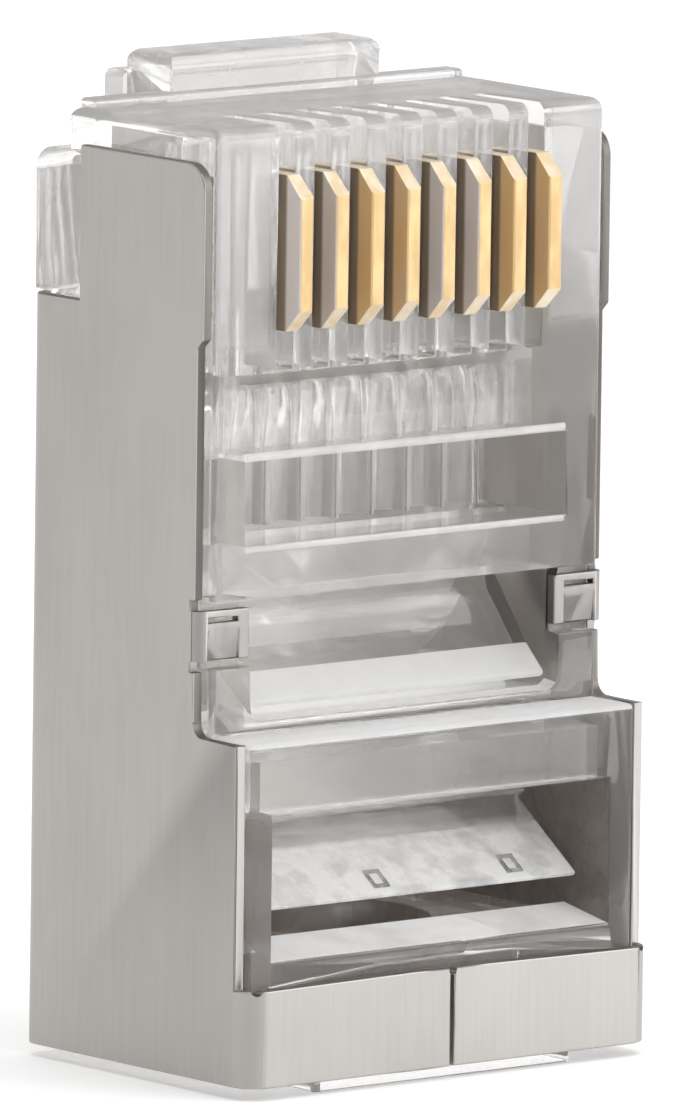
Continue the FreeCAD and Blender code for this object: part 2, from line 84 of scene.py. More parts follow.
# ---- shader tools ----------------------------------------------------------------------
class Maths:
    """A float socket that ordinary Python arithmetic turns into Math nodes."""

    def __init__(self, sheet: "NodeSheet", socket: bpy.types.NodeSocket) -> None:
        """Wraps one output socket.

        Args:
            sheet: The node sheet that owns the socket.
            socket: The output to do sums with.
        """
        self.sheet = sheet
        self.socket = socket

    def _apply(self, operation: str, first: "Maths | float",
               second: "Maths | float") -> "Maths":
        """Adds a Math node.

        Args:
            operation: The node's operation, such as ADD.
            first: Left value or socket.
            second: Right value or socket.

        Returns:
            The node's result.
        """
        node = self.sheet.node("ShaderNodeMath", {"operation": operation},
                               {0: first, 1: second})
        return Maths(self.sheet, node.outputs[0])

    def __add__(self, other: "Maths | float") -> "Maths":
        """self + other."""
        return self._apply("ADD", self, other)

    __radd__ = __add__

    def __sub__(self, other: "Maths | float") -> "Maths":
        """self - other."""
        return self._apply("SUBTRACT", self, other)

    def __rsub__(self, other: "Maths | float") -> "Maths":
        """other - self."""
        return self._apply("SUBTRACT", other, self)

    def __mul__(self, other: "Maths | float") -> "Maths":
        """self * other."""
        return self._apply("MULTIPLY", self, other)

    __rmul__ = __mul__

    def size(self) -> "Maths":
        """The value without its sign."""
        return self._apply("ABSOLUTE", self, 0.0)

    def sine(self) -> "Maths":
        """The sine of the value, in radians."""
        return self._apply("SINE", self, 0.0)

    def ramp(self, low: float, high: float) -> "Maths":
        """The value mapped so that low gives 0 and high gives 1, with soft ends.

        Args:
            low: Value that gives 0.
            high: Value that gives 1.

        Returns:
            The mapped value.
        """
        node = self.sheet.node("ShaderNodeMapRange", {"interpolation_type": "SMOOTHSTEP"},
                               {"Value": self, "From Min": low, "From Max": high})
        return Maths(self.sheet, node.outputs["Result"])


class NodeSheet:
    """A material's or a world's node tree, filled through one method."""

    def __init__(self, tree: bpy.types.NodeTree) -> None:
        """Starts with an empty tree.

        Args:
            tree: The tree to fill.
        """
        self.tree = tree
        tree.nodes.clear()

    def node(self, kind: str, settings: dict[str, object] | None = None,
             inputs: dict[str | int, object] | None = None) -> bpy.types.Node:
        """Adds one node.

        Args:
            kind: The node's type.
            settings: Its attributes, such as a Math node's operation, which are set first.
            inputs: Values or links for its sockets, by name or number.

        Returns:
            The node.
        """
        made = self.tree.nodes.new(kind)
        for name, value in (settings or {}).items():
            setattr(made, name, value)
        for key, value in (inputs or {}).items():
            self._feed(made.inputs[key], value)
        return made

    def _feed(self, socket: bpy.types.NodeSocket, value: object) -> None:
        """Gives one input its value or its link.

        Args:
            socket: The input.
            value: A number, a tuple, a socket, a node's first output or a Maths value.
        """
        if isinstance(value, Maths):
            self.tree.links.new(value.socket, socket)
        elif isinstance(value, bpy.types.NodeSocket):
            self.tree.links.new(value, socket)
        elif isinstance(value, bpy.types.Node):
            self.tree.links.new(value.outputs[0], socket)
        else:
            socket.default_value = value

    def place(self, scale: Triple = (1.0, 1.0, 1.0)) -> bpy.types.NodeSocket:
        """Object coordinates, stretched per axis.

        Args:
            scale: Factor along each axis.

        Returns:
            The vector socket.
        """
        where = self.node("ShaderNodeTexCoord")
        mapped = self.node("ShaderNodeMapping", {"vector_type": "POINT"},
                           {"Vector": where.outputs["Object"], "Scale": scale})
        return mapped.outputs["Vector"]

    def split(self, vector: bpy.types.NodeSocket) -> tuple[Maths, Maths, Maths]:
        """The three parts of a vector.

        Args:
            vector: The vector socket.

        Returns:
            Its x, y and z.
        """
        made = self.node("ShaderNodeSeparateXYZ", {}, {"Vector": vector})
        return tuple(Maths(self, part) for part in made.outputs)

    def noise(self, scale: Triple, detail: float = 3.0) -> Maths:
        """Noise on Object coordinates.

        Args:
            scale: Cells per metre along each axis.
            detail: Octaves.

        Returns:
            The noise value, about 0.5 on average.
        """
        made = self.node("ShaderNodeTexNoise", {},
                         {"Vector": self.place(scale), "Scale": 1.0, "Detail": detail,
                          "Roughness": FINE_SHARE})
        return Maths(self, made.outputs["Fac"])

    def blend(self, share: Maths | float, first: object,
              second: object) -> bpy.types.NodeSocket:
        """Colour between two colours.

        Args:
            share: 0 gives the first, 1 the second.
            first: Colour or link.
            second: Colour or link.

        Returns:
            The colour socket.
        """
        made = self.node("ShaderNodeMix", {"data_type": "RGBA"},
                         {MIX_SHARE: share, MIX_FIRST: first, MIX_SECOND: second})
        return made.outputs[MIX_RESULT]

    def layer(self, share: Maths | float, first: bpy.types.Node,
              second: bpy.types.Node) -> bpy.types.Node:
        """Shader between two shaders.

        Args:
            share: 0 gives the first, 1 the second.
            first: Shader node.
            second: Shader node.

        Returns:
            The node that mixes them.
        """
        return self.node("ShaderNodeMixShader", {}, {0: share, 1: first, 2: second})

    def bump(self, height: Maths, distance: float, strength: float) -> bpy.types.NodeSocket:
        """Normal bent by a height.

        Args:
            height: Height from 0 to 1.
            distance: Metres that 1 stands for.
            strength: Share of the effect.

        Returns:
            The normal socket.
        """
        made = self.node("ShaderNodeBump", {},
                         {"Height": height, "Distance": distance, "Strength": strength})
        return made.outputs["Normal"]


# ---- finishes --------------------------------------------------------------------------
def start_material(name: str) -> tuple[bpy.types.Material, NodeSheet]:
    """A new material with an empty node sheet.

    Args:
        name: The material's name.

    Returns:
        The material and its sheet.
    """
    material = bpy.data.materials.new(name)
    material.use_nodes = True
    return material, NodeSheet(material.node_tree)


@dataclass(frozen=True)
class ClearPolycarbonate:
    """Clear moulded plastic: polished, or with the satin of a textured mould. In some zones its
    haze is dark, as painted shade, and in others white, as painted highlight.

    The haze is full below fade_from and gone above fade_to, or the other way round where
    fade_to is the lower. It starts beside_from away from the middle and is full at beside_to.
    A share of the light goes straight on without bending, as through thin plastic.
    """

    name: str = "moulded_clear"
    tint: Colour = (0.985, 0.98, 0.975, 1.0)
    straight_tint: Colour = (0.97, 0.965, 0.96, 1.0)
    haze_tint: Colour = (0.93, 0.922, 0.915, 1.0)
    ior: float = 1.52
    roughness: float = 0.005
    roughness_spread: float = 0.02
    haze: float = 0.06
    haze_spread: float = 0.5
    cloud_size: float = 2.4 * MM
    fade_from: float = 1.0
    fade_to: float = 1.1
    beside_from: float = -2.0 * MM
    beside_to: float = -1.0 * MM
    straight: float = 0.16
    scattered: float = 0.5
    ripple: float = 0.0015 * MM
    ripple_cells: Triple = (500.0, 500.0, 160.0)
    ripple_share: float = 0.3
    rough_clouds: Span = (0.35, 0.75)
    haze_clouds: Span = (0.3, 0.7)

    def make(self) -> bpy.types.Material:
        """Builds the material."""
        material, sheet = start_material(self.name)
        clouds = sheet.noise((1.0 / self.cloud_size,) * 3)
        flow = sheet.noise(self.ripple_cells, detail=2.0)
        rough = clouds.ramp(*self.rough_clouds) * self.roughness_spread + self.roughness
        bent = sheet.bump(flow, self.ripple, self.ripple_share)
        plastic = sheet.node("ShaderNodeBsdfPrincipled", {}, {
            "Base Color": self.tint, "Roughness": rough, "IOR": self.ior,
            "Transmission Weight": 1.0, "Normal": bent})
        open_way = sheet.node("ShaderNodeBsdfTransparent", {}, {"Color": self.straight_tint})
        scatter = sheet.node("ShaderNodeBsdfTranslucent", {}, {"Color": self.haze_tint})
        chalk = sheet.node("ShaderNodeBsdfDiffuse", {}, {"Color": self.haze_tint})
        thin = sheet.layer(self.straight, plastic, open_way)
        cloudy = sheet.layer(self.scattered, scatter, chalk)
        milky = sheet.layer(self._level(sheet, clouds), thin, cloudy)
        shadow = Maths(sheet, sheet.node("ShaderNodeLightPath").outputs["Is Shadow Ray"])
        both = sheet.layer(shadow, milky, open_way)
        sheet.node("ShaderNodeOutputMaterial", {}, {"Surface": both})
        return material

    def _level(self, sheet: NodeSheet, clouds: Maths) -> Maths:
        """How hazy the plastic is, from place to place.

        Args:
            sheet: The material's nodes.
            clouds: Noise from 0 to 1.

        Returns:
            The haze from 0 to 1.
        """
        across, _, height = sheet.split(sheet.place())
        level = clouds.ramp(*self.haze_clouds) * self.haze_spread
        level = level + (1.0 - self.haze_spread / 2.0)
        level = level * height.ramp(self.fade_to, self.fade_from)
        return level * across.size().ramp(self.beside_from, self.beside_to) * self.haze


@dataclass(frozen=True)
class SatinNickel:
    """Nickel plated sheet with a fine brushed grain along its length."""

    name: str = "satin_nickel"
    pale: Colour = (0.475, 0.455, 0.435, 1.0)
    deep: Colour = (0.41, 0.392, 0.372, 1.0)
    roughness: float = 0.38
    grain_bump: float = 0.003 * MM
    grain_cells: Triple = (9000.0, 9000.0, 420.0)
    grain_share: float = 0.35
    patch_cells: Triple = (260.0, 260.0, 200.0)
    tone_span: Span = (0.3, 0.7)
    rough_swing: float = 0.10
    bump_share: float = 0.6

    def make(self) -> bpy.types.Material:
        """Builds the material."""
        material, sheet = start_material(self.name)
        grain = sheet.noise(self.grain_cells, detail=4.0)
        patches = sheet.noise(self.patch_cells)
        mixed = grain * self.grain_share + patches * (1.0 - self.grain_share)
        tone = sheet.blend(mixed.ramp(*self.tone_span), self.deep, self.pale)
        worn = patches * self.rough_swing + (self.roughness - self.rough_swing)
        metal = sheet.node("ShaderNodeBsdfPrincipled", {}, {
            "Base Color": tone, "Metallic": 1.0, "Roughness": grain * self.rough_swing + worn,
            "Normal": sheet.bump(grain, self.grain_bump, self.bump_share)})
        sheet.node("ShaderNodeOutputMaterial", {}, {"Surface": metal})
        return material


@dataclass(frozen=True)
class PlatedGold:
    """Gold plating on a stamped blade, with faint drawing marks."""

    name: str = "plated_gold"
    bright: Colour = (0.63, 0.452, 0.24, 1.0)
    dull: Colour = (0.51, 0.358, 0.185, 1.0)
    roughness: float = 0.34
    streak_cells: Triple = (2500.0, 2500.0, 900.0)
    streak_span: Span = (0.35, 0.65)
    metallic: float = 1.0
    rough_swing: float = 0.12
    streak_bump: float = 0.003 * MM
    bump_share: float = 0.4

    def make(self) -> bpy.types.Material:
        """Builds the material."""
        material, sheet = start_material(self.name)
        streaks = sheet.noise(self.streak_cells)
        tone = sheet.blend(streaks.ramp(*self.streak_span), self.dull, self.bright)
        self._plate(sheet, tone, streaks)
        return material

    def _plate(self, sheet: NodeSheet, tone: bpy.types.NodeSocket, streaks: Maths) -> None:
        """Adds the metal itself.

        Args:
            sheet: The material's nodes.
            tone: The metal's colour.
            streaks: Drawing marks from 0 to 1.
        """
        metal = sheet.node("ShaderNodeBsdfPrincipled", {}, {
            "Base Color": tone, "Metallic": self.metallic,
            "Roughness": streaks * self.rough_swing + (self.roughness - self.rough_swing / 2),
            "Normal": sheet.bump(streaks, self.streak_bump, self.bump_share)})
        sheet.node("ShaderNodeOutputMaterial", {}, {"Surface": metal})


@dataclass(frozen=True)
class StampedSide(PlatedGold):
    """A blade's flat side: greyer on some blades and dark where it enters, both painted
    reflection of what is round it.

    The tone swings from gold to grey and back along the row, at turns radians per metre.
    """

    name: str = "gold_side"
    bright: Colour = (0.80, 0.55, 0.26, 1.0)
    # the grey is a painted reflection of the dark round the blades
    dull: Colour = (0.72, 0.65, 0.60, 1.0)
    # painted reflection: darker where the side enters the plastic
    entry_reflection: Colour = (0.24, 0.18, 0.12, 1.0)
    streak_cells: Triple = (1400.0, 1400.0, 500.0)
    streak_span: Span = (0.2, 0.8)
    metallic: float = 0.3
    turns: float = 1540.0
    first: float = 3.89
    swing_half: float = 0.5
    streak_share: float = 0.6
    lift: float = 0.2
    enter_from: float = -3.36 * MM
    enter_to: float = -3.24 * MM

    def make(self) -> bpy.types.Material:
        """Builds the material."""
        material, sheet = start_material(self.name)
        streaks = sheet.noise(self.streak_cells)
        across, inward, _ = sheet.split(sheet.place())
        swing = (across * self.turns + self.first).sine() * self.swing_half
        swing = swing + streaks * self.streak_share + self.lift
        tone = sheet.blend(swing.ramp(*self.streak_span), self.dull, self.bright)
        # painted reflection: darker towards where the side enters the plastic
        tone = sheet.blend(inward.ramp(self.enter_from, self.enter_to), tone, self.entry_reflection)
        self._plate(sheet, tone, streaks)
        return material


@dataclass(frozen=True)
class PaleFloor:
    """Plain matt studio floor."""

    name: str = "pale_floor"
    colour: Colour = (0.95, 0.95, 0.95, 1.0)
    roughness: float = 0.9
    glow: float = 0.25

    def make(self) -> bpy.types.Material:
        """Builds the material."""
        material, sheet = start_material(self.name)
        paint = sheet.node("ShaderNodeBsdfPrincipled", {},
                           {"Base Color": self.colour, "Roughness": self.roughness,
                            "Emission Color": self.colour, "Emission Strength": self.glow})
        sheet.node("ShaderNodeOutputMaterial", {}, {"Surface": paint})
        return material


class Finish(enum.Enum):
    """The plug's finishes, each with the recipe that makes it."""

    CLEAR = ClearPolycarbonate()
    SATIN_CLEAR = ClearPolycarbonate(name="moulded_satin", haze=0.27, haze_spread=0.2,
                                     haze_tint=(0.86, 0.845, 0.835, 1.0))
    COMB = ClearPolycarbonate(name="moulded_comb", haze=0.17, haze_spread=0.2,
                              haze_tint=(0.52, 0.505, 0.495, 1.0))
    COMB_OPEN = ClearPolycarbonate(name="moulded_comb_open", haze=0.5, haze_spread=0.2,
                                   haze_tint=(0.72, 0.70, 0.69, 1.0),
                                   fade_from=13.9 * MM, fade_to=14.1 * MM)
    # Painted highlight: a white haze on the window's upper and lower faces and its lips, in
    # place of the light on their edges.
    MILKY = ClearPolycarbonate(name="moulded_milky", roughness=0.10, haze=0.62,
                               haze_tint=(0.98, 0.98, 0.98, 1.0), roughness_spread=0.10)
    # Painted highlight: a bright white haze on the shelf, the conductor bar's lower front, the
    # seat ridge and the comb's lips, in place of the light they reflect.
    FROST = ClearPolycarbonate(name="moulded_frost", roughness=0.12, haze=0.93,
                               haze_tint=(1.0, 1.0, 1.0, 1.0), haze_spread=0.1)
    RAIL = ClearPolycarbonate(name="moulded_rail", roughness=0.10, haze=0.82,
                              haze_tint=(1.0, 1.0, 1.0, 1.0), haze_spread=0.35)
    FRONT = ClearPolycarbonate(name="moulded_front", haze=0.5, haze_spread=0.2,
                               haze_tint=(0.80, 0.79, 0.785, 1.0), fade_from=16.7 * MM,
                               fade_to=16.3 * MM, beside_from=3.9 * MM, beside_to=4.1 * MM)
    NOSE = ClearPolycarbonate(name="moulded_nose", roughness=0.10, haze=0.62,
                              haze_tint=(0.60, 0.585, 0.575, 1.0), haze_spread=0.4)
    LEVER = ClearPolycarbonate(name="moulded_lever", haze=0.30,
                               haze_tint=(0.66, 0.65, 0.645, 1.0))
    # Textured white haze on the jacket bar's face; it fades out towards the top, so the bar's
    # upper part shows the dark behind it as painted shade.
    BAR_FACE = ClearPolycarbonate(name="bar_face", roughness=0.08, haze=0.85,
                                  haze_tint=(0.99, 0.99, 0.99, 1.0), roughness_spread=0.12,
                                  haze_spread=0.75, cloud_size=0.9 * MM,
                                  fade_from=4.75 * MM, fade_to=5.25 * MM)
    SEAT = ClearPolycarbonate(name="moulded_seat", haze=0.92, haze_spread=0.1,
                              haze_tint=(0.97, 0.97, 0.97, 1.0),
                              fade_from=8.0 * MM, fade_to=8.3 * MM)
    # Painted shade: a dark haze on the jacket chamber's walls and entry, in place of the shadow
    # inside them.
    SHADE = ClearPolycarbonate(name="moulded_shade", tint=(0.70, 0.67, 0.64, 1.0), haze=0.58,
                               haze_tint=(0.23, 0.20, 0.185, 1.0), haze_spread=0.6,
                               cloud_size=1.2 * MM, fade_from=5.9 * MM, fade_to=6.3 * MM)
    # Painted shade: a dark haze on the conductor bar's right end, with no fade.
    DARK_END = ClearPolycarbonate(name="moulded_dark_end", tint=(0.30, 0.27, 0.25, 1.0),
                                  haze=0.9, haze_tint=(0.13, 0.115, 0.10, 1.0),
                                  haze_spread=0.1)
    # Painted shade on the chamber's back wall, fading out above its lower part.
    SHADE_LOW = ClearPolycarbonate(name="moulded_shade_low", tint=(0.85, 0.83, 0.81, 1.0),
                                   haze=0.75, haze_tint=(0.17, 0.145, 0.13, 1.0),
                                   fade_from=4.4 * MM, fade_to=4.9 * MM)
    MARK = ClearPolycarbonate(name="mould_mark", haze=0.55, haze_spread=0.8,
                              haze_tint=(0.20, 0.19, 0.185, 1.0), cloud_size=0.25 * MM)
    NICKEL = SatinNickel()
    # Painted light: a paler copy of the nickel on the shield's inner faces above the shelf.
    NICKEL_INSIDE = SatinNickel(name="satin_nickel_inside", pale=(0.66, 0.63, 0.60, 1.0),
                                deep=(0.56, 0.53, 0.50, 1.0), roughness=0.34,
                                grain_bump=0.0005 * MM)
    # Painted shade: a darker copy of the nickel on the inner faces below the shelf, in the
    # jacket chamber.
    NICKEL_REAR = SatinNickel(name="satin_nickel_rear", pale=(0.40, 0.37, 0.34, 1.0),
                              deep=(0.31, 0.28, 0.255, 1.0), roughness=0.30,
                              grain_bump=0.0005 * MM)
    # Painted shade on the sheared edges, on faces that look up or down, and on the ears' inner
    # faces.
    NICKEL_DARK = SatinNickel(name="shaded_nickel", pale=(0.22, 0.205, 0.19, 1.0),
                              deep=(0.15, 0.14, 0.13, 1.0), roughness=0.45)
    # Painted shade: a darker copy of the nickel on the ears' outer faces, with a stronger grain
    # bump.
    NICKEL_EAR = SatinNickel(name="worked_nickel", pale=(0.40, 0.385, 0.37, 1.0),
                             deep=(0.30, 0.285, 0.275, 1.0), roughness=0.40,
                             grain_bump=0.004 * MM)
    GOLD = PlatedGold()
    GOLD_SIDE = StampedSide()
    # Painted highlight: paler gold on the blades' chamfered tips.
    GOLD_TIP = PlatedGold(name="gold_tip", bright=(0.95, 0.85, 0.68, 1.0),
                          dull=(0.90, 0.72, 0.46, 1.0), roughness=0.42)

    def material(self) -> bpy.types.Material:
        """The finish's material, made once."""
        return bpy.data.materials.get(self.value.name) or self.value.make()


# ---- mesh tools ------------------------------------------------------------------------
EdgeTest = Callable[[bmesh.types.BMEdge], bool]
FaceSort = Callable[[Vector, Vector], Finish]


@dataclass(frozen=True)
class Zone:
    """Faces with a finish of their own: those in a box that look one way. Sizes are in mm."""

    finish: Finish
    facing: Triple
    across: Span
    inward: Span
    height: Span
    least: float = 0.7

    def holds(self, centre: Vector, normal: Vector) -> bool:
        """Whether a face belongs to the zone.

        Args:
            centre: The face's middle.
            normal: The way it looks.

        Returns:
            True where it does.
        """
        spans = (self.across, self.inward, self.height)
        inside = all(low * MM <= place <= high * MM for place, (low, high) in zip(centre, spans))
        return inside and normal.dot(Vector(self.facing)) > self.least


def by_zone(base: Finish, zones: Sequence[Zone]) -> FaceSort:
    """A rule that gives each face its zone's finish.

    Args:
        base: The finish of a face outside every zone.
        zones: The zones; the first that holds a face counts.

    Returns:
        The rule.
    """
    def sort_face(centre: Vector, normal: Vector) -> Finish:
        """The finish for a face's middle and normal."""
        return next((zone.finish for zone in zones if zone.holds(centre, normal)), base)
    return sort_face


def solid_copy(node: bpy.types.Object) -> bmesh.types.BMesh:
    """A CAD node's mesh with its triangles joined and its flat faces made whole.

    Args:
        node: The CAD node.

    Returns:
        The joined mesh.
    """
    shape = bmesh.new()
    shape.from_mesh(node.data)
    bmesh.ops.remove_doubles(shape, verts=shape.verts, dist=JOIN_DISTANCE)
    bmesh.ops.dissolve_limit(shape, angle_limit=math.radians(FLAT_TURN), verts=shape.verts,
                             edges=shape.edges)
    return shape


def outward_corner(edge: bmesh.types.BMEdge, least_length: float) -> bool:
    """True for a sharp edge that stands out of its solid.

    Args:
        edge: The edge.
        least_length: Shortest length, in metres.

    Returns:
        Whether it is one.
    """
    return (edge.is_manifold and edge.is_convex
            and edge.calc_face_angle() > math.radians(SHARP_TURN)
            and edge.calc_length() > least_length)


@dataclass
class SoftSolid:
    """A piece made from a CAD node: the same solid with its outward edges rounded."""

    name: str
    node: str
    body: str
    slot: str
    edge_round: float
    wanted: EdgeTest
    sort_face: FaceSort
    segments: int = 2

    def build(self, frame: dict[str, object]) -> bpy.types.Object:
        """Makes the piece and puts it on its body.


        Returns:
            The piece.
        """
        return settle(self.shape(frame["nodes"][self.node]), self.body, self.slot, self.node)

    def shape(self, node: bpy.types.Object) -> bpy.types.Object:
        """Makes the rounded piece, with a finish on each face.

        Args:
            node: The CAD node.

        Returns:
            The piece, not yet on a body.
        """
        solid = solid_copy(node)
        weight = solid.edges.layers.float.new("bevel_weight_edge")
        for edge in solid.edges:
            edge[weight] = float(self.wanted(edge))
        mesh = bpy.data.meshes.new(self.name)
        solid.to_mesh(mesh)
        solid.free()
        piece = bpy.data.objects.new(self.name, mesh)
        bpy.context.scene.collection.objects.link(piece)
        mesh.shade_smooth()
        mesh.set_sharp_from_angle(angle=math.radians(SMOOTH_TURN))
        self._round(piece)
        self._paint(piece.data)
        return piece

    def _paint(self, mesh: bpy.types.Mesh) -> None:
        """Gives each face its finish.

        Args:
            mesh: The piece's mesh.
        """
        used: dict[Finish, int] = {}
        for face in mesh.polygons:
            finish = self.sort_face(face.center, face.normal)
            face.material_index = used.setdefault(finish, len(used))
        for finish in used:
            mesh.materials.append(finish.material())

    def _round(self, piece: bpy.types.Object) -> None:
        """Rounds the marked edges and keeps the flats flat.

        Args:
            piece: The piece.
        """
        bevel = piece.modifiers.new("round", "BEVEL")
        bevel.limit_method = "WEIGHT"
        bevel.width = self.edge_round
        bevel.segments = self.segments
        bevel.use_clamp_overlap = False
        bevel.harden_normals = True
        bevel.miter_outer = "MITER_ARC"
        freeze(piece)


def freeze(piece: bpy.types.Object) -> None:
    """Turns what a piece's modifiers give into its plain mesh.

    Args:
        piece: The piece.
    """
    graph = bpy.context.evaluated_depsgraph_get()
    graph.update()
    made = bpy.data.meshes.new_from_object(piece.evaluated_get(graph), depsgraph=graph)
    made.name = piece.name
    piece.modifiers.clear()
    piece.data = made


def settle(piece: bpy.types.Object, body: str, slot: str, *nodes: str) -> bpy.types.Object:
    """Puts a finished piece on its body in place of its CAD nodes, and reports it.

    Args:
        piece: The piece.
        body: The body that it moves with.
        slot: The record's material slot; not used.
        nodes: The CAD nodes that it stands for.

    Returns:
        The piece.
    """
    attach(piece, body)
    if nodes:
        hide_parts(*nodes)
    LOG.info("%s: %d faces, on %s", piece.name, len(piece.data.polygons), body)
    return piece


# ---- node trees ------------------------------------------------------------------------
@dataclass
class Grower:
    """A Geometry Nodes tree with named inputs, built and run by the script."""

    name: str
    sheet: NodeSheet = field(init=False)
    entry: bpy.types.Node = field(init=False)
    keys: dict[str, str] = field(init=False, default_factory=dict)

    def __post_init__(self) -> None:
        """Makes the empty tree with its mesh in and out."""
        tree = bpy.data.node_groups.new(self.name, "GeometryNodeTree")
        self.sheet = NodeSheet(tree)
        tree.interface.new_socket("Mesh", in_out="INPUT", socket_type="NodeSocketGeometry")
        tree.interface.new_socket("Mesh", in_out="OUTPUT", socket_type="NodeSocketGeometry")

    def add_input(self, name: str, kind: str) -> None:
        """Adds a named input.

        Args:
            name: What the input is called.
            kind: Its socket type.
        """
        made = self.sheet.tree.interface.new_socket(name, in_out="INPUT", socket_type=kind)
        self.keys[name] = made.identifier

    def start(self) -> bpy.types.NodeSocket:
        """Places the group's inputs, once all are named.

        Returns:
            The mesh that comes in.
        """
        self.entry = self.sheet.node("NodeGroupInput")
        return self.entry.outputs["Mesh"]

    def end(self, grown: bpy.types.NodeSocket) -> None:
        """Sends the result out of the group.

        Args:
            grown: The mesh that goes out.
        """
        self.sheet.node("NodeGroupOutput", {}, {"Mesh": grown})

    def run(self, piece: bpy.types.Object, values: dict[str, object]) -> None:
        """Runs the tree on a piece and keeps the plain mesh.

        Args:
            piece: The piece whose mesh goes in.
            values: The inputs' values, by name.
        """
        grow = piece.modifiers.new("grow", "NODES")
        grow.node_group = self.sheet.tree
        for name, value in values.items():
            grow[self.keys[name]] = value
        freeze(piece)


# ---- moulding --------------------------------------------------------------------------
@dataclass(frozen=True)
class SweptRow:
    """One thin swept outline, repeated along a line. Sizes are in mm.

    With a width it is a closed rectangle, and without one a straight rod along its course.
    """

    name: str
    body: str
    finish: Finish
    first: Triple
    length: float
    rim: float
    count: int = 1
    pitch: float = 0.0
    width: float = 0.0
    slope: float = 0.0
    course: Triple = (0.0, 0.0, 1.0)
    sides: int = 10

    def build(self) -> None:
        """Makes the whole row as one piece on its body."""
        piece = bpy.data.objects.new(self.name, bpy.data.meshes.new(self.name))
        bpy.context.scene.collection.objects.link(piece)
        self._tree().run(piece, {
            "Count": self.count, "First": Vector(self.first) * MM,
            "Pitch": Vector((self.pitch * MM, 0.0, 0.0)), "Width": self.width * MM,
            "Length": self.length * MM, "Rim": self.rim * MM,
            "Turn": Vector((math.radians(self.slope), 0.0, 0.0)),
            "Finish": self.finish.material()})
        settle(piece, self.body, "clear_polycarbonate")

    def _tree(self) -> Grower:
        """The tree that sweeps the outline and repeats it.

        Returns:
            The tree, ready to run.
        """
        grower = Grower(self.name)
        for name, kind in (("Count", "NodeSocketInt"), ("First", "NodeSocketVector"),
                           ("Pitch", "NodeSocketVector"), ("Width", "NodeSocketFloat"),
                           ("Length", "NodeSocketFloat"), ("Rim", "NodeSocketFloat"),
                           ("Turn", "NodeSocketVector"), ("Finish", "NodeSocketMaterial")):
            grower.add_input(name, kind)
        grower.start()
        sheet, given = grower.sheet, grower.entry.outputs
        if self.width:
            path = sheet.node("GeometryNodeCurvePrimitiveQuadrilateral", {"mode": "RECTANGLE"},
                              {"Width": given["Width"], "Height": given["Length"]})
        else:
            path = sheet.node("GeometryNodeCurvePrimitiveLine", {"mode": "DIRECTION"},
                              {"Direction": self.course, "Length": given["Length"]})
        section = sheet.node("GeometryNodeCurvePrimitiveCircle", {"mode": "RADIUS"},
                             {"Resolution": self.sides, "Radius": given["Rim"]})
        swept = sheet.node("GeometryNodeCurveToMesh", {},
                           {"Curve": path, "Profile Curve": section, "Fill Caps": True})
        row = sheet.node("GeometryNodeMeshLine", {"mode": "OFFSET"},
                         {"Count": given["Count"], "Start Location": given["First"],
                          "Offset": given["Pitch"]})
        placed = sheet.node("GeometryNodeInstanceOnPoints", {},
                            {"Points": row, "Instance": swept, "Rotation": given["Turn"]})
        real = sheet.node("GeometryNodeRealizeInstances", {}, {"Geometry": placed})
        smooth = sheet.node("GeometryNodeSetShadeSmooth", {}, {"Geometry": real})
        finished = sheet.node("GeometryNodeSetMaterial", {},
                              {"Geometry": smooth, "Material": given["Finish"]})
        grower.end(finished.outputs["Geometry"])
        return grower


FRONTWARD = (0.0, -1.0, 0.0)
UPWARD = (0.0, 0.0, 1.0)
RIGHTWARD = (1.0, 0.0, 0.0)
LEFTWARD = (-1.0, 0.0, 0.0)
ANY_WAY = (0.0, 0.0, 0.0)
ALL = (-9.0, 9.0)

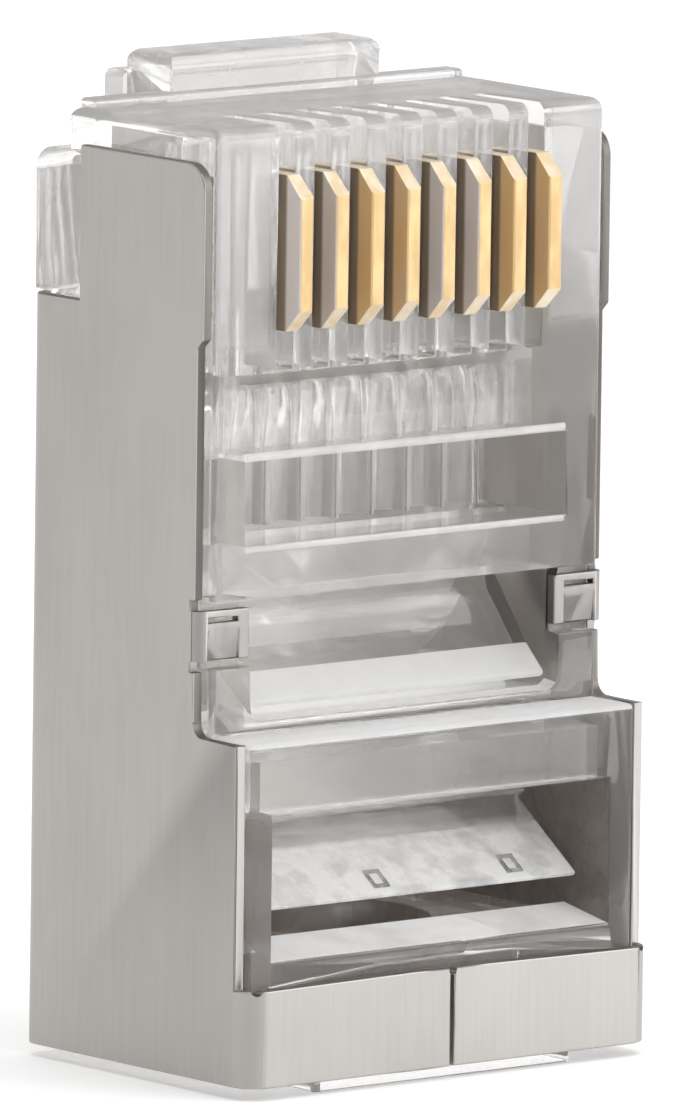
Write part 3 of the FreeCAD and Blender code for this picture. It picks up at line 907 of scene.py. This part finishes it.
# Ledges and window edges get a white haze as painted highlight, the rail is milky, and the
# jacket chamber and entry get a dark haze as painted shade.
HOUSING_ZONES = (
    # fronts of the comb's ribs, and the comb behind them
    Zone(Finish.COMB_OPEN, FRONTWARD, (-4.2, 4.2), (-0.65, 0.0), (11.0, 20.9), 0.3),
    Zone(Finish.COMB, ANY_WAY, (-4.2, 4.2), (-1.20, 3.0), (10.95, 20.9), -1.0),
    # the window's upper and lower faces, white hazed as painted highlight
    Zone(Finish.MILKY, (0.0, 0.0, -1.0), (-4.7, 4.7), (-3.1, 0.0), (13.9, 14.1)),
    Zone(Finish.MILKY, UPWARD, (-4.7, 4.7), (-3.1, 0.0), (12.0, 12.2)),
    # the shelf below the conductor bar, with a white haze as painted highlight, and the rail
    # above the flaps
    Zone(Finish.FROST, UPWARD, ALL, (-4.6, -2.4), (7.80, 8.35), 0.3),
    Zone(Finish.FROST, FRONTWARD, (-4.4, 4.4), (-3.2, -2.4), (7.92, 8.35)),
    Zone(Finish.RAIL, UPWARD, ALL, (-4.6, -2.6), (3.06, 3.40)),
    # the walls round the conductor bar's seat
    Zone(Finish.SEAT, FRONTWARD, (-4.4, 4.4), (-0.2, 2.7), (7.2, 12.1)),
    Zone(Finish.SEAT, LEFTWARD, (4.4, 4.5), (-3.1, 2.7), (7.1, 12.2)),
    # painted shade on the entry, and on the jacket chamber's floor, back, sides and lower front
    Zone(Finish.SHADE, ANY_WAY, (-2.7, 2.7), (-2.7, 2.7), (0.2, 3.04), -1.0),
    Zone(Finish.SHADE, UPWARD, (-4.9, 4.9), (-2.7, 2.7), (3.04, 3.06)),
    Zone(Finish.SHADE_LOW, FRONTWARD, (-4.9, 4.9), (2.6, 2.64), (3.0, 7.3)),
    Zone(Finish.SHADE, RIGHTWARD, (-4.9, -4.8), (-4.5, 2.7), (3.0, 7.5)),
    Zone(Finish.SHADE, LEFTWARD, (4.8, 4.9), (-4.5, 2.7), (3.0, 7.5)),
    Zone(Finish.SHADE, FRONTWARD, (0.03, 0.08), (-4.5, -4.4), (2.5, 2.9)),
    # beside the blades, the nose and its collar
    Zone(Finish.FRONT, FRONTWARD, ALL, (-3.1, -3.0), (14.0, 21.3)),
    Zone(Finish.NOSE, UPWARD, ALL, (-3.1, 2.2), (21.2, 21.8), 0.3),
    Zone(Finish.SATIN_CLEAR, ANY_WAY, ALL, ALL, (21.8, 23.0), -1.0),
)
CONDUCTOR_BAR_ZONES = (
    # painted highlight: white haze on the bar's lower front
    Zone(Finish.FROST, FRONTWARD, (-4.29, 4.29), (-3.0, -1.9), (8.3, 9.15), 0.3),
    # painted shade on the bar's right end
    Zone(Finish.DARK_END, RIGHTWARD, (4.2, 4.4), ALL, (8.0, 11.0)),
)

SWEPT_ROWS = (
    SweptRow("bar_marks", "jacket_bar", Finish.MARK, (-0.76, -3.06, 4.325), 0.46, 0.07,
             count=2, pitch=3.85, width=0.36, slope=35.1),
    # painted highlight: white lines along the comb's lips and the seat ridge
    SweptRow("comb_lips", "plug_body", Finish.FROST, (-4.08, -0.66, 14.04), 1.68, 0.05,
             count=9, pitch=1.02),
    SweptRow("seat_ridge", "plug_body", Finish.FROST, (-4.38, -1.18, 8.03), 8.76, 0.12,
             course=RIGHTWARD),
    # painted highlight: white lines along the window's top and sill
    SweptRow("window_top_lip", "plug_body", Finish.MILKY, (-4.56, -2.97, 14.10), 9.12, 0.085,
             course=RIGHTWARD),
    SweptRow("window_sill_lip", "plug_body", Finish.MILKY, (-4.56, -2.97, 12.02), 9.12, 0.065,
             course=RIGHTWARD),
)


@dataclass
class Moulding:
    """Clear housing with its two strain relief bars."""

    edge_round: float = 0.045 * MM
    bar_round: float = 0.06 * MM
    least_edge: float = 0.30 * MM
    comb_half: float = 4.2 * MM
    comb_front: float = -2.90 * MM
    comb_low: float = 10.9 * MM
    comb_high: float = 21.36 * MM
    bar_face_turn: float = -0.3

    def build(self, frame: dict[str, object]) -> None:
        """Makes the three clear pieces and the small rows on them.
        """
        SoftSolid("clear_housing", "housing", "plug_body", "clear_polycarbonate",
                  self.edge_round, self._housing_edge,
                  by_zone(Finish.CLEAR, HOUSING_ZONES)).build(frame)
        SoftSolid("clear_jacket_bar", "jacket_bar", "jacket_bar", "clear_polycarbonate",
                  self.bar_round, self._bar_edge, self._jacket_bar_finish).build(frame)
        SoftSolid("clear_conductor_bar", "conductor_bar", "conductor_bar",
                  "clear_polycarbonate", self.bar_round, self._bar_edge,
                  by_zone(Finish.CLEAR, CONDUCTOR_BAR_ZONES)).build(frame)
        for row in SWEPT_ROWS:
            row.build()

    def _housing_edge(self, edge: bmesh.types.BMEdge) -> bool:
        """Outward edges, apart from the thin walls between the wire channels."""
        middle = (edge.verts[0].co + edge.verts[1].co) / 2
        if (abs(middle.x) < self.comb_half and self.comb_low < middle.z < self.comb_high
                and middle.y > self.comb_front):
            return False
        return outward_corner(edge, self.least_edge)

    def _bar_edge(self, edge: bmesh.types.BMEdge) -> bool:
        """All of a bar's outward edges."""
        return outward_corner(edge, 0.0)

    def _jacket_bar_finish(self, centre: Vector, normal: Vector) -> Finish:
        """Milky on faces that look to the contact side."""
        return Finish.BAR_FACE if normal.y < self.bar_face_turn else Finish.CLEAR


# ---- shield ----------------------------------------------------------------------------
@dataclass
class Shield:
    """Folded metal sheet, with painted light on its inner faces above the shelf and painted
    shade on its sheared edges, its ears and its rear inside.

    The least values are how far a face's normal has to lean one way to count.
    """

    edge_round: float = 0.035 * MM
    least_edge: float = 0.05 * MM
    middle_y: float = -0.80 * MM
    ear_low: float = 9.40 * MM
    ear_high: float = 10.80 * MM
    ear_back: float = -2.60 * MM
    shelf: float = 7.92 * MM
    least_outward: float = 0.2
    least_upright: float = 0.6
    least_facing: float = 0.5

    def build(self, frame: dict[str, object]) -> None:
        """Makes the sheet.
        """
        SoftSolid("nickel_shield", "shield", "plug_body", "shield_metal", self.edge_round,
                  lambda edge: outward_corner(edge, self.least_edge),
                  self._finish).build(frame)

    def _finish(self, centre: Vector, normal: Vector) -> Finish:
        """Painted shade on the ears, the sheared edges and the rear inside, and painted light on
        the inner faces above the shelf.
        """
        # the ears get painted shade, darker still on their edges and inner faces
        if self.ear_low < centre.z < self.ear_high and centre.y < self.ear_back:
            outward = normal.y < -self.least_outward
            return Finish.NICKEL_EAR if outward else Finish.NICKEL_DARK
        # faces that look up or down get painted shade
        if abs(normal.z) > self.least_upright:
            return Finish.NICKEL_DARK
        inward = Vector((-centre.x, self.middle_y - centre.y, 0.0)).normalized()
        facing = normal.dot(inward)
        if abs(facing) > self.least_facing:
            # inner faces: painted shade below the shelf, painted light above it
            hidden = Finish.NICKEL_REAR if centre.z < self.shelf else Finish.NICKEL_INSIDE
            return hidden if facing > 0.0 else Finish.NICKEL
        # sheared side edges above the shelf get painted shade
        return Finish.NICKEL_DARK if centre.z > self.shelf else Finish.NICKEL


# ---- contacts --------------------------------------------------------------------------
@dataclass
class ContactRow:
    """Eight gold plated blades, grown along the comb's pitch from the first one."""

    count: int = 8
    edge_round: float = 0.03 * MM
    least_edge: float = 0.2 * MM
    least_turn: float = 0.45

    def build(self, frame: dict[str, object]) -> None:
        """Makes one blade for each body.
        """
        nodes = [frame["nodes"][f"contact_{way}"] for way in range(1, self.count + 1)]
        middles = [self._middle(node) for node in nodes]
        pitch = (middles[-1] - middles[0]) / (self.count - 1)
        grower = self._tree()
        for way, node in enumerate(nodes):
            blade = self._blade(nodes[0], f"gold_blade_{way + 1}")
            grower.run(blade, {"Ways": self.count, "Pitch": pitch, "Way": way,
                               "Front": Finish.GOLD.material(),
                               "Side": Finish.GOLD_SIDE.material(),
                               "Tip": Finish.GOLD_TIP.material()})
            settle(blade, node.name, "contact_gold", node.name)

    def _middle(self, node: bpy.types.Object) -> Vector:
        """The middle of a CAD node's mesh.

        Args:
            node: The CAD node.

        Returns:
            Its middle.
        """
        corners = [vertex.co for vertex in node.data.vertices]
        low = Vector(map(min, zip(*corners)))
        high = Vector(map(max, zip(*corners)))
        return (low + high) / 2

    def _blade(self, node: bpy.types.Object, name: str) -> bpy.types.Object:
        """The first blade with its edges marked and rounded.

        Args:
            node: The first blade's CAD node.
            name: The new piece's name.

        Returns:
            The piece.
        """
        return SoftSolid(name, node.name, node.name, "contact_gold", self.edge_round,
                         lambda edge: outward_corner(edge, self.least_edge),
                         by_zone(Finish.GOLD, ())).shape(node)

    def _tree(self) -> Grower:
        """The tree that sets a blade at its way and plates it.

        Returns:
            The tree, ready to run.
        """
        grower = Grower("blade_row")
        for name, kind in (("Ways", "NodeSocketInt"), ("Pitch", "NodeSocketVector"),
                           ("Way", "NodeSocketInt"), ("Front", "NodeSocketMaterial"),
                           ("Side", "NodeSocketMaterial"), ("Tip", "NodeSocketMaterial")):
            grower.add_input(name, kind)
        blade = grower.start()
        sheet, given = grower.sheet, grower.entry.outputs
        row = sheet.node("GeometryNodeMeshLine", {"mode": "OFFSET"},
                         {"Count": given["Ways"], "Offset": given["Pitch"]})
        chosen = sheet.node("FunctionNodeCompare", {"data_type": "INT", "operation": "EQUAL"},
                            {WHOLE_FIRST: sheet.node("GeometryNodeInputIndex"),
                             WHOLE_SECOND: given["Way"]})
        placed = sheet.node("GeometryNodeInstanceOnPoints", {},
                            {"Points": row, "Selection": chosen, "Instance": blade})
        real = sheet.node("GeometryNodeRealizeInstances", {}, {"Geometry": placed})
        across, _, upward = sheet.split(sheet.node("GeometryNodeInputNormal").outputs["Normal"])
        plated = self._finish(sheet, real, given["Front"], None)
        plated = self._finish(sheet, plated, given["Side"], across)
        # the tips' paler gold is a painted highlight
        plated = self._finish(sheet, plated, given["Tip"], upward)
        grower.end(plated.outputs["Geometry"])
        return grower

    def _finish(self, sheet: NodeSheet, blade: bpy.types.Node, finish: bpy.types.NodeSocket,
                turn: Maths | None) -> bpy.types.Node:
        """Sets the finish of a blade's faces.

        Args:
            sheet: The tree's nodes.
            blade: The blade so far.
            finish: The material.
            turn: Part of the normal that has to be large, or None for every face.

        Returns:
            The node that sets it.
        """
        made = sheet.node("GeometryNodeSetMaterial", {}, {"Geometry": blade, "Material": finish})
        if turn:
            faces = sheet.node("FunctionNodeCompare", {"operation": "GREATER_THAN"},
                               {FLOAT_FIRST: turn * turn,
                                FLOAT_SECOND: self.least_turn * self.least_turn})
            sheet.tree.links.new(faces.outputs[0], made.inputs["Selection"])
        return made


# ---- latch -----------------------------------------------------------------------------
@dataclass
class Latch:
    """Clear lever with its ramps and grip."""

    edge_round: float = 0.05 * MM
    least_edge: float = 0.3 * MM

    def build(self, frame: dict[str, object]) -> None:
        """Makes the lever.
        """
        SoftSolid("clear_latch", "latch", "latch", "clear_polycarbonate", self.edge_round,
                  lambda edge: outward_corner(edge, self.least_edge),
                  by_zone(Finish.LEVER, ())).build(frame)


# ---- studio ----------------------------------------------------------------------------
def direction(azimuth: float, elevation: float) -> Vector:
    """Unit vector from the part towards a place round it.

    Args:
        azimuth: Degrees round the part, 0 on the -Y side and 90 on the +X side.
        elevation: Degrees above the horizon.

    Returns:
        The vector.
    """
    turn, rise = math.radians(azimuth), math.radians(elevation)
    return Vector((math.sin(turn) * math.cos(rise), -math.cos(turn) * math.cos(rise),
                   math.sin(rise)))


@dataclass(frozen=True)
class SoftBox:
    """One rectangular soft light that looks at the part."""

    name: str
    azimuth: float
    elevation: float
    distance: float
    width: float
    height: float
    radiance: float

    def place(self, aim: Vector) -> bpy.types.Object:
        """Adds the light.

        Args:
            aim: Point that the light faces.

        Returns:
            The light's object.
        """
        lamp = bpy.data.lights.new(self.name, "AREA")
        lamp.shape = "RECTANGLE"
        lamp.size = self.width
        lamp.size_y = self.height
        lamp.energy = self.radiance * math.pi * self.width * self.height
        made = bpy.data.objects.new(self.name, lamp)
        back = direction(self.azimuth, self.elevation)
        made.location = aim + back * self.distance
        made.rotation_euler = (-back).to_track_quat("-Z", "Y").to_euler()
        bpy.context.scene.collection.objects.link(made)
        return made


@dataclass
class Studio:
    """Floor, soft lights, white surroundings and the camera."""

    aim: Vector = field(default_factory=lambda: Vector((0.342, -0.298, 11.200)) * MM)
    azimuth: float = -39.261
    elevation: float = 8.247
    roll: float = 0.760
    distance: float = 0.48413
    sensor: float = 36.0
    focal_to_sensor: float = 19.4994
    clip: Span = (0.01, 50.0)
    floor_radius: float = 6.0
    floor_sides: int = 64
    room_light: float = 0.84
    dark_side: float = -42.0
    dark_light: float = 0.16
    dark_edges: Span = (0.45, 0.92)
    dim_side: float = -140.0
    dim_light: float = 0.56
    dim_edges: Span = (0.45, 0.95)
    patch_rise: float = 6.0
    lights: tuple[SoftBox, ...] = (
        SoftBox("key_right", 42.0, 16.0, 0.30, 0.24, 0.26, 2.3),
        SoftBox("top_fill", -30.0, 78.0, 0.32, 0.30, 0.30, 1.2),
    )

    def build(self) -> None:
        """Makes everything round the part."""
        self._world()
        self._floor()
        for light in self.lights:
            light.place(self.aim)
        self._camera()

    def _world(self) -> None:
        """White surroundings with a dark patch at the front left and a dim one behind."""
        world = bpy.data.worlds.new("studio_white")
        bpy.context.scene.world = world
        world.use_nodes = True
        sheet = NodeSheet(world.node_tree)
        where = sheet.node("ShaderNodeTexCoord").outputs["Generated"]
        dark = self._patch(sheet, where, self.dark_side, self.dark_edges)
        dim = self._patch(sheet, where, self.dim_side, self.dim_edges)
        level = self.room_light - dark * (self.room_light - self.dark_light)
        level = level - dim * (self.room_light - self.dim_light)
        seen = Maths(sheet, sheet.node("ShaderNodeLightPath").outputs["Is Camera Ray"])
        strength = level + seen * (1.0 - level)
        sky = sheet.node("ShaderNodeBackground", {},
                         {"Color": (1.0, 1.0, 1.0, 1.0), "Strength": strength})
        sheet.node("ShaderNodeOutputWorld", {}, {"Surface": sky})
        bpy.context.scene.view_settings.view_transform = "Standard"

    def _patch(self, sheet: NodeSheet, where: bpy.types.NodeSocket, azimuth: float,
               edges: Span) -> Maths:
        """A soft round patch of the surroundings, a little above the horizon.

        Args:
            sheet: The world's nodes.
            where: Direction that is looked along.
            azimuth: Which way the patch lies, in degrees.
            edges: Cosine at the patch's outer edge, and where it is full.

        Returns:
            1 in the patch and 0 outside it.
        """
        middle = tuple(direction(azimuth, self.patch_rise))
        towards = sheet.node("ShaderNodeVectorMath", {"operation": "DOT_PRODUCT"},
                             {0: where, 1: middle})
        return Maths(sheet, towards.outputs["Value"]).ramp(*edges)

    def _floor(self) -> None:
        """A round floor, far larger than the part."""
        mesh = bpy.data.meshes.new("floor")
        shape = bmesh.new()
        bmesh.ops.create_circle(shape, cap_ends=True, radius=self.floor_radius,
                                segments=self.floor_sides)
        shape.to_mesh(mesh)
        shape.free()
        mesh.materials.append(PaleFloor().make())
        floor = bpy.data.objects.new("floor", mesh)
        bpy.context.scene.collection.objects.link(floor)

    def _camera(self) -> None:
        """Long lens on the corner between the contact side and the left side."""
        lens = bpy.data.cameras.new("camera")
        lens.sensor_fit = "AUTO"
        lens.sensor_width = self.sensor
        lens.lens = self.sensor * self.focal_to_sensor
        lens.clip_start, lens.clip_end = self.clip
        camera = bpy.data.objects.new("camera", lens)
        back = direction(self.azimuth, self.elevation)
        level = Vector((0.0, 0.0, 1.0)).cross(back).normalized()
        upright = back.cross(level)
        turn = math.radians(self.roll)
        right = level * math.cos(turn) + upright * math.sin(turn)
        up = upright * math.cos(turn) - level * math.sin(turn)
        camera.matrix_world = Matrix.Translation(self.aim + back * self.distance) @ Matrix(
            (right, up, back)).transposed().to_4x4()
        bpy.context.scene.collection.objects.link(camera)
        bpy.context.scene.camera = camera


def main() -> None:
    """Builds the studio and every piece of the plug."""
    logging.basicConfig(level=logging.INFO, format="%(message)s")
    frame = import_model()
    Studio().build()
    for part in (Moulding(), Shield(), ContactRow(), Latch()):
        part.build(frame)


if __name__ == "__main__":
    main()
